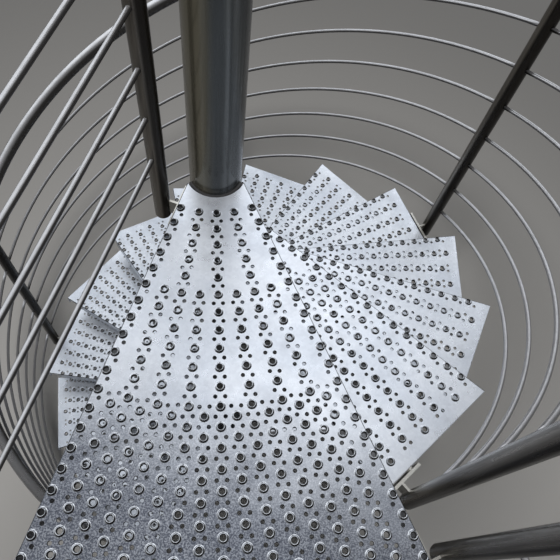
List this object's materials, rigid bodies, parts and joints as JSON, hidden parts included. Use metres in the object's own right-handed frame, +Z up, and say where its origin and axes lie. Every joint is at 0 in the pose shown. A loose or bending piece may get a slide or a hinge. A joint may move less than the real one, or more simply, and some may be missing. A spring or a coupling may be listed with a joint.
{
  "type": "spiral staircase",
  "caption": "Spiral staircase with perforated sheet-metal pan treads on a round centre column, a wedge-shaped landing and a tubular railing with helical infill rods.",
  "frame": {"origin": "on the column's axis at the underside of the base plate", "axes": "+Z up along the column, the landing points along -Y, and the flight falls away from it anticlockwise seen from above"},
  "size_m": [1.8564, 2.3282, 3.9642],
  "materials": {
    "galvanised_sheet": "hot-dip galvanised, bright with a faint spangle",
    "column_steel": "polished stainless tube, dark in reflection",
    "post_stainless": "brushed stainless tube",
    "bracket_steel": "bright stainless flat bar",
    "rod_stainless": "brushed stainless round bar",
    "handrail_stainless": "brushed stainless tube"
  },
  "bodies": {
    "root": {"base_plate": "column_steel", "column": "column_steel", "column_cap": "column_steel", "tread_01": "galvanised_sheet", "tread_02": "galvanised_sheet", "tread_03": "galvanised_sheet", "tread_04": "galvanised_sheet", "tread_05": "galvanised_sheet", "tread_06": "galvanised_sheet", "tread_07": "galvanised_sheet", "tread_08": "galvanised_sheet", "tread_09": "galvanised_sheet", "tread_10": "galvanised_sheet", "tread_11": "galvanised_sheet", "tread_12": "galvanised_sheet", "tread_13": "galvanised_sheet", "landing": "galvanised_sheet", "post_tread_01": "post_stainless", "post_tread_04": "post_stainless", "post_tread_07": "post_stainless", "post_tread_10": "post_stainless", "post_tread_13": "post_stainless", "post_landing_inner_left": "post_stainless", "post_landing_outer_left": "post_stainless", "post_landing_inner_right": "post_stainless", "post_landing_outer_right": "post_stainless", "bracket_tread_01": "bracket_steel", "bracket_tread_04": "bracket_steel", "bracket_tread_07": "bracket_steel", "bracket_tread_10": "bracket_steel", "bracket_tread_13": "bracket_steel", "bracket_landing_inner_left": "bracket_steel", "bracket_landing_outer_left": "bracket_steel", "bracket_landing_inner_right": "bracket_steel", "bracket_landing_outer_right": "bracket_steel", "rods_01_to_04": "rod_stainless", "rods_04_to_07": "rod_stainless", "rods_07_to_10": "rod_stainless", "rods_10_to_13": "rod_stainless", "rods_landing_left": "rod_stainless", "rods_landing_right": "rod_stainless", "handrail_spiral": "handrail_stainless", "handrail_landing_left": "handrail_stainless", "handrail_landing_right": "handrail_stainless", "handrail_caps": "handrail_stainless"}
  },
  "joints": []
}
